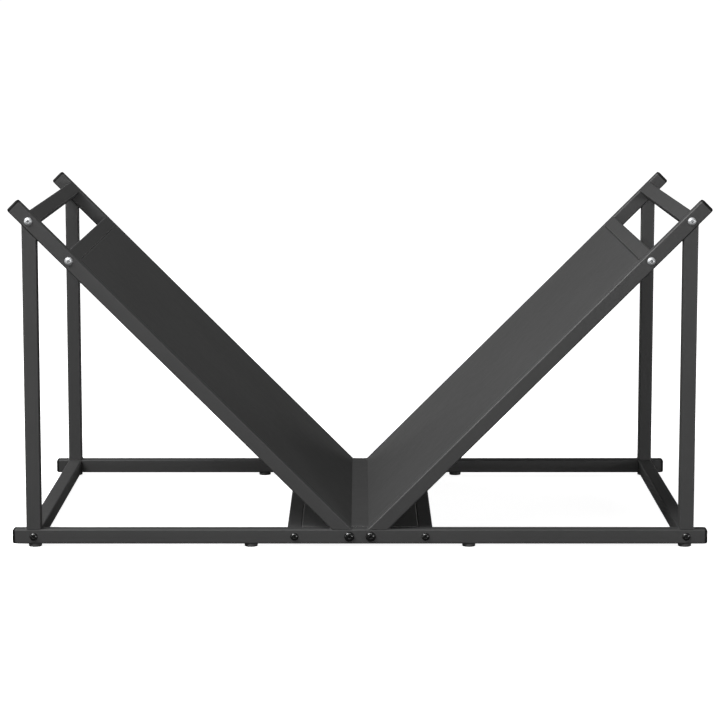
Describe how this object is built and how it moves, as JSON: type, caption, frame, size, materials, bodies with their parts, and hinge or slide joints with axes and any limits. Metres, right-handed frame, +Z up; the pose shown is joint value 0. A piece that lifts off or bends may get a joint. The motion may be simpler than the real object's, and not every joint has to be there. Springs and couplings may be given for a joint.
{
  "type": "firewood log rack",
  "caption": "Free-standing V-shaped rack of square steel tube with sheet-metal sides that holds split firewood in a trough, open at both ends.",
  "frame": {"origin": "on the floor, under the middle of the rack", "axes": "+X along the bottom rails to the right, +Y from the front frame to the rear frame, +Z up"},
  "size_m": [1, 0.6088, 0.4994],
  "materials": {
    "tube_powder_coat": "matt black powder coat",
    "sheet_powder_coat": "matt black powder coat",
    "black_plastic": "moulded black plastic",
    "grey_pad": "matt dark grey moulded pad",
    "zinc_plated_steel": "bright zinc plate",
    "black_bolt": "glossy black",
    "bare_steel": "plain steel, hidden inside the tubes"
  },
  "bodies": {
    "root": {"bottom_plate": "sheet_powder_coat", "front_bottom_rail": "tube_powder_coat", "front_diagonal_bolts_m6": "zinc_plated_steel", "front_left_diagonal": "tube_powder_coat", "front_left_diagonal_cap": "black_plastic", "front_left_inner_foot": "grey_pad", "front_left_outer_foot": "grey_pad", "front_left_post": "tube_powder_coat", "front_left_rail_plug": "black_plastic", "front_rail_bolts_m6": "black_bolt", "front_rail_bolts_m8": "black_bolt", "front_right_diagonal": "tube_powder_coat", "front_right_diagonal_cap": "black_plastic", "front_right_inner_foot": "grey_pad", "front_right_outer_foot": "grey_pad", "front_right_post": "tube_powder_coat", "front_right_rail_plug": "black_plastic", "front_threaded_blocks_m6": "bare_steel", "front_threaded_blocks_m8": "bare_steel", "left_base_crossbar": "tube_powder_coat", "left_centre_crossbar": "tube_powder_coat", "left_panel_crossbar": "tube_powder_coat", "left_plate_crossbar": "tube_powder_coat", "left_side_panel": "sheet_powder_coat", "left_top_crossbar": "tube_powder_coat", "rear_bottom_rail": "tube_powder_coat", "rear_diagonal_bolts_m6": "zinc_plated_steel", "rear_left_diagonal": "tube_powder_coat", "rear_left_diagonal_cap": "black_plastic", "rear_left_inner_foot": "grey_pad", "rear_left_outer_foot": "grey_pad", "rear_left_post": "tube_powder_coat", "rear_left_rail_plug": "black_plastic", "rear_rail_bolts_m6": "black_bolt", "rear_rail_bolts_m8": "black_bolt", "rear_right_diagonal": "tube_powder_coat", "rear_right_diagonal_cap": "black_plastic", "rear_right_inner_foot": "grey_pad", "rear_right_outer_foot": "grey_pad", "rear_right_post": "tube_powder_coat", "rear_right_rail_plug": "black_plastic", "rear_threaded_blocks_m6": "bare_steel", "rear_threaded_blocks_m8": "bare_steel", "right_base_crossbar": "tube_powder_coat", "right_centre_crossbar": "tube_powder_coat", "right_panel_crossbar": "tube_powder_coat", "right_plate_crossbar": "tube_powder_coat", "right_side_panel": "sheet_powder_coat", "right_top_crossbar": "tube_powder_coat"}
  },
  "joints": []
}
